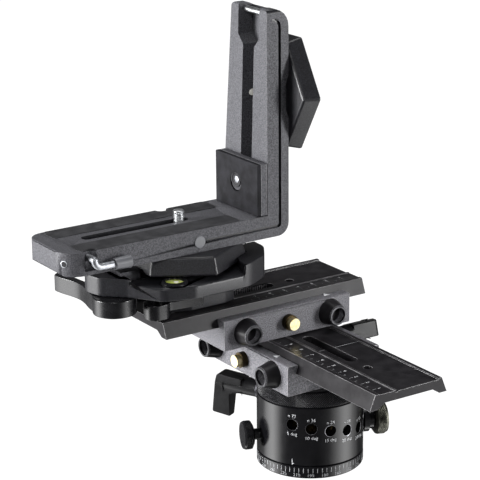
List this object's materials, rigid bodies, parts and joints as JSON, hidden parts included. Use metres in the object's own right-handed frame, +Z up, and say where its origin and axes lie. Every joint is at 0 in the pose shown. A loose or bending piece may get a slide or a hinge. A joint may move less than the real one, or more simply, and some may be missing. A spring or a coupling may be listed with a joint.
{
  "type": "panoramic tripod head",
  "caption": "Panoramic tripod head: click-stop rotation unit, two crossed dovetail slides in lever clamps, quick-release adapter and L-bracket for a camera.",
  "frame": {"origin": "on the pan axis, in the mouth of the tripod socket at the underside of the base", "axes": "+Z up along the pan axis; the lower plate runs along Y with its scale end at -Y; the upper plate and the bracket's long arm run along X, with the upright towards +X"},
  "size_m": [0.205, 0.191, 0.2547],
  "materials": {
    "black_anodised": "black anodised, satin gloss",
    "steel": "polished",
    "brass": "satin",
    "brass_dark": "dark satin",
    "acetal": "matt",
    "powder_coat": "die-cast, black fine-textured powder coat",
    "black_satin": "die-cast, black satin paint",
    "black_plastic": "fine grained",
    "grey_plastic": "satin",
    "aluminium": "satin",
    "vial": "clear, yellow-green fluid",
    "rubber": "matt"
  },
  "bodies": {
    "base": {"base_plate": "black_anodised", "tripod_bush": "steel", "scale_ring": "black_anodised", "spindle": "steel", "index_rings": "brass", "ring_clamp_screws": "steel", "spindle_nut": "steel"},
    "turret": {"housing": "black_anodised", "knurled_disc": "black_anodised", "disc_screws": "steel", "clamp_stud": "steel", "plunger_collar": "black_anodised", "lower_clamp": "powder_coat", "lower_button_bush": "brass_dark"},
    "index_plunger": {"plunger_pin": "steel", "plunger_knob": "black_anodised"},
    "drag_screw": {"drag_knob": "black_anodised"},
    "drag_tip": {"drag_pad": "acetal"},
    "pan_handle": {"pan_lever": "black_plastic", "pan_lever_screw": "steel"},
    "pan_shoe": {"pan_brake_shoe": "acetal"},
    "lower_gib": {"lower_jaw": "powder_coat", "lower_jaw_rods": "steel"},
    "lower_handle": {"lower_lever": "black_plastic", "lower_lever_screw": "steel"},
    "lower_release": {"lower_button": "brass"},
    "lower_carriage": {"lower_slide": "powder_coat", "upper_clamp": "powder_coat", "upper_clamp_screws": "steel", "upper_button_bush": "brass_dark"},
    "upper_gib": {"upper_jaw": "powder_coat", "upper_jaw_rods": "steel"},
    "upper_handle": {"upper_lever": "black_plastic", "upper_lever_screw": "steel"},
    "upper_release": {"upper_button": "brass"},
    "upper_carriage": {"upper_slide": "powder_coat", "adapter_foot": "powder_coat", "adapter_body": "black_satin", "adapter_screws": "steel", "level_ring": "aluminium", "level_vial": "vial", "qr_pivot_screw": "steel", "l_bracket": "powder_coat", "hex_plate_under": "black_satin", "hex_plate_side": "black_satin", "hex_plate_screws": "steel", "rubber_strips": "rubber", "fork_pin": "steel"},
    "adapter_lever": {"qr_lever": "black_satin"},
    "adapter_jaw": {"qr_jaw": "steel"},
    "safety_catch": {"qr_catch": "black_satin"},
    "screw_carrier": {"screw_bush": "steel"},
    "camera_bolt": {"camera_screw": "steel"},
    "folding_crank": {"crank": "steel", "crank_grip": "grey_plastic"},
    "camera_stop": {"stop_plate": "powder_coat", "stop_pad": "rubber", "stop_screw": "steel"}
  },
  "joints": [
    {"name": "pan", "type": "hinge", "parent": "base", "child": "turret", "pos_m": [0, 0, 0], "axis": [0, 0, 1], "continuous": true},
    {"name": "plunger_pull", "type": "slide", "parent": "turret", "child": "index_plunger", "axis": [0.9385, -0.3453, 0], "range_m": [0, 0.003], "stiffness_N_per_m": 900},
    {"name": "drag_turn", "type": "hinge", "parent": "turret", "child": "drag_screw", "pos_m": [-0.02819, 0.01026, 0.0175], "axis": [-0.9397, 0.342, 0], "range_deg": [-270, 0]},
    {"name": "drag_press", "type": "slide", "parent": "turret", "child": "drag_tip", "axis": [0.9397, -0.342, 0], "range_m": [0, 0.0004]},
    {"name": "pan_lock", "type": "hinge", "parent": "turret", "child": "pan_handle", "pos_m": [-0.01362, 0.02673, 0.0357], "axis": [-0.454, 0.891, 0], "range_deg": [-80, 80]},
    {"name": "pan_press", "type": "slide", "parent": "turret", "child": "pan_shoe", "axis": [0.454, -0.891, 0], "range_m": [-0.000202, 0.000202]},
    {"name": "lower_jaw_open", "type": "slide", "parent": "turret", "child": "lower_gib", "axis": [1, 0, 0], "range_m": [0, 0.0008]},
    {"name": "lower_lock", "type": "hinge", "parent": "lower_gib", "child": "lower_handle", "pos_m": [0.031, 0.02, 0.0598], "axis": [1, 0, 0], "range_deg": [0, 120]},
    {"name": "lower_button_press", "type": "slide", "parent": "turret", "child": "lower_release", "axis": [1, 0, 0], "range_m": [0, 0.0025], "stiffness_N_per_m": 500},
    {"name": "lower_travel", "type": "slide", "parent": "turret", "child": "lower_carriage", "axis": [0, 1, 0], "range_m": [-0.008, 0.055]},
    {"name": "upper_jaw_open", "type": "slide", "parent": "lower_carriage", "child": "upper_gib", "axis": [0, 1, 0], "range_m": [0, 0.0008]},
    {"name": "upper_lock", "type": "hinge", "parent": "upper_gib", "child": "upper_handle", "pos_m": [-0.0085, 0.071, 0.0806], "axis": [0, 1, 0], "range_deg": [0, 120]},
    {"name": "upper_button_press", "type": "slide", "parent": "lower_carriage", "child": "upper_release", "axis": [0, 1, 0], "range_m": [0, 0.0025], "stiffness_N_per_m": 500},
    {"name": "upper_travel", "type": "slide", "parent": "lower_carriage", "child": "upper_carriage", "axis": [1, 0, 0], "range_m": [-0.015, 0.033]},
    {"name": "adapter_release", "type": "hinge", "parent": "upper_carriage", "child": "adapter_lever", "pos_m": [-0.104, 0.035, 0.1], "axis": [0, 0, 1], "range_deg": [0, 100]},
    {"name": "adapter_jaw_open", "type": "slide", "parent": "upper_carriage", "child": "adapter_jaw", "axis": [-1, 0, 0], "range_m": [0, 0.002]},
    {"name": "catch_turn", "type": "hinge", "parent": "upper_carriage", "child": "safety_catch", "pos_m": [-0.0815, 0.027, 0.1], "axis": [0, 0, 1], "range_deg": [-25, 0]},
    {"name": "camera_screw_travel", "type": "slide", "parent": "upper_carriage", "child": "screw_carrier", "axis": [1, 0, 0], "range_m": [-0.057, 0.002]},
    {"name": "camera_screw_turn", "type": "hinge", "parent": "screw_carrier", "child": "camera_bolt", "pos_m": [-0.0595, 0.04, 0.1409], "axis": [0, 0, 1], "continuous": true},
    {"name": "crank_turn", "type": "hinge", "parent": "upper_carriage", "child": "folding_crank", "pos_m": [-0.127, 0.01775, 0.13695], "axis": [0, 1, 0], "continuous": true},
    {"name": "stop_travel", "type": "slide", "parent": "upper_carriage", "child": "camera_stop", "axis": [0, -0.0461, 0.9989], "range_m": [0, 0.055]}
  ],
  "couplings": [
    {"joint": "drag_turn", "follows": "drag_press", "rad_per_m": -11775},
    {"joint": "pan_press", "follows": "pan_lock", "m_per_rad": 0.00014324},
    {"joint": "lower_lock", "follows": "lower_jaw_open", "rad_per_m": 2616.7},
    {"joint": "upper_lock", "follows": "upper_jaw_open", "rad_per_m": 2616.7},
    {"joint": "adapter_jaw_open", "follows": "adapter_release", "m_per_rad": 0.0011459}
  ]
}
